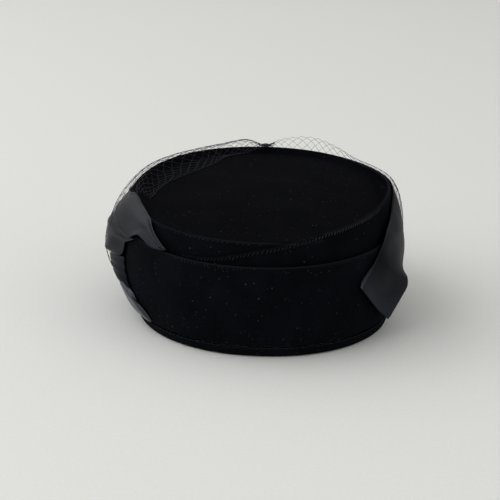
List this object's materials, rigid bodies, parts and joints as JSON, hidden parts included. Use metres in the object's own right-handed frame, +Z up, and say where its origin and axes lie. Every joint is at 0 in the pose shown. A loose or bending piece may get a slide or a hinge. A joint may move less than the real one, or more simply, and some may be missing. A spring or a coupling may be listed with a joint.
{
  "type": "pillbox hat",
  "caption": "Oval pillbox hat: flat tip, draped shoulder wrap that crosses at the back, tall flared side cuff on a bound hem, wide ribbon with side loops, and a net veil.",
  "frame": {"origin": "centre of the rim's oval, on the plane that the rim rests on", "axes": "+Z up, +Y the way the wearer faces, +X the wearer's right"},
  "size_m": [0.2101, 0.2211, 0.0958],
  "materials": {
    "velvet": "matt black cotton velvet over a stiffened form",
    "satin_ribbon": "soft lustrous black satin ribbon",
    "veil_net": "matt black millinery net"
  },
  "bodies": {
    "root": {"hem_binding": "velvet", "side_cuff": "velvet", "crown_wrap": "velvet", "crown_tip": "velvet", "ribbon_band": "satin_ribbon", "left_tuck": "satin_ribbon", "left_loop": "satin_ribbon", "left_tail": "satin_ribbon", "left_knot": "satin_ribbon", "veil": "veil_net", "veil_gather": "veil_net"}
  },
  "joints": []
}
